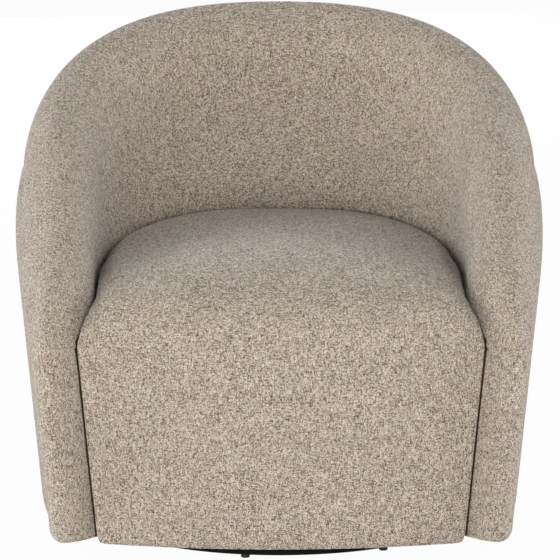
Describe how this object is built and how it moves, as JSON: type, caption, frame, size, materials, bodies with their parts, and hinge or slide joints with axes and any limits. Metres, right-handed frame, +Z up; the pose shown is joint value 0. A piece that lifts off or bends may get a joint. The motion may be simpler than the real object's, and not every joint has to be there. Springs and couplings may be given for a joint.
{
  "type": "swivel rocker",
  "caption": "Barrel-back upholstered swivel rocker with a rolled rim, a tight seat, a coil-sprung rocking mechanism and a low round floor ring.",
  "frame": {"origin": "on the floor, on the swivel axis, at the middle of the footprint", "axes": "+Z up, the chair faces -Y, +X to the right of someone looking at its front"},
  "size_m": [0.7864, 0.76, 0.738],
  "materials": {
    "painted_steel": "satin black",
    "bright_steel": "zinc plated",
    "spring_steel": "oiled",
    "rubber": "matte",
    "timber": "raw sawn",
    "foam": "matte open cell",
    "cambric": "matte non-woven",
    "webbing": "matte woven",
    "upholstery": "heathered tweed weave"
  },
  "bodies": {
    "base": {"base_ring": "painted_steel", "cross_bars": "painted_steel", "glides": "rubber", "lower_swivel_plate": "bright_steel", "plate_rivets": "painted_steel", "king_pin": "painted_steel", "king_nut": "bright_steel"},
    "ball_cage": {"ball_cage": "bright_steel", "bearing_balls": "spring_steel"},
    "turntable": {"upper_swivel_plate": "bright_steel", "cradle_plate": "painted_steel", "cradle_rivets": "painted_steel", "left_cheek": "painted_steel", "right_cheek": "painted_steel", "cradle_bolts": "bright_steel", "lower_spring_seats": "painted_steel", "bump_stops": "rubber", "pivot_bolts": "bright_steel", "pivot_nuts": "bright_steel", "front_left_spring": "spring_steel", "front_right_spring": "spring_steel", "rear_left_spring": "spring_steel", "rear_right_spring": "spring_steel"},
    "chair": {"left_rocker_rail": "painted_steel", "right_rocker_rail": "painted_steel", "rocker_cross_bars": "painted_steel", "pivot_bushes": "bright_steel", "upper_spring_seats": "painted_steel", "mount_bolts": "bright_steel", "left_mount_rail": "timber", "right_mount_rail": "timber", "base_board": "timber", "dust_cover": "cambric", "front_rail": "timber", "rear_rail": "timber", "left_side_rail": "timber", "right_side_rail": "timber", "corner_blocks": "timber", "deck_board": "timber", "lower_studs": "timber", "upper_studs": "timber", "top_rail": "timber", "back_webbing": "webbing", "seat_springs": "spring_steel", "spring_clips": "bright_steel", "seat_foam": "foam", "front_foam": "foam", "seat_cover": "upholstery", "inside_cover": "upholstery", "outside_cover": "upholstery"}
  },
  "joints": [
    {"name": "swivel", "type": "hinge", "parent": "base", "child": "turntable", "pos_m": [0, 0, 0.026], "axis": [0, 0, 1], "continuous": true},
    {"name": "cage_spin", "type": "hinge", "parent": "base", "child": "ball_cage", "pos_m": [0, 0, 0.026], "axis": [0, 0, 1], "continuous": true},
    {"name": "rock", "type": "hinge", "parent": "turntable", "child": "chair", "pos_m": [0, 0, 0.084], "axis": [1, 0, 0], "range_deg": [-5, 5], "stiffness_Nm_per_rad": 900, "springref_deg": -0.45, "deforming": ["front_left_spring", "front_right_spring", "rear_left_spring", "rear_right_spring"]}
  ],
  "couplings": [
    {"joint": "cage_spin", "follows": "swivel", "ratio": 0.5}
  ]
}
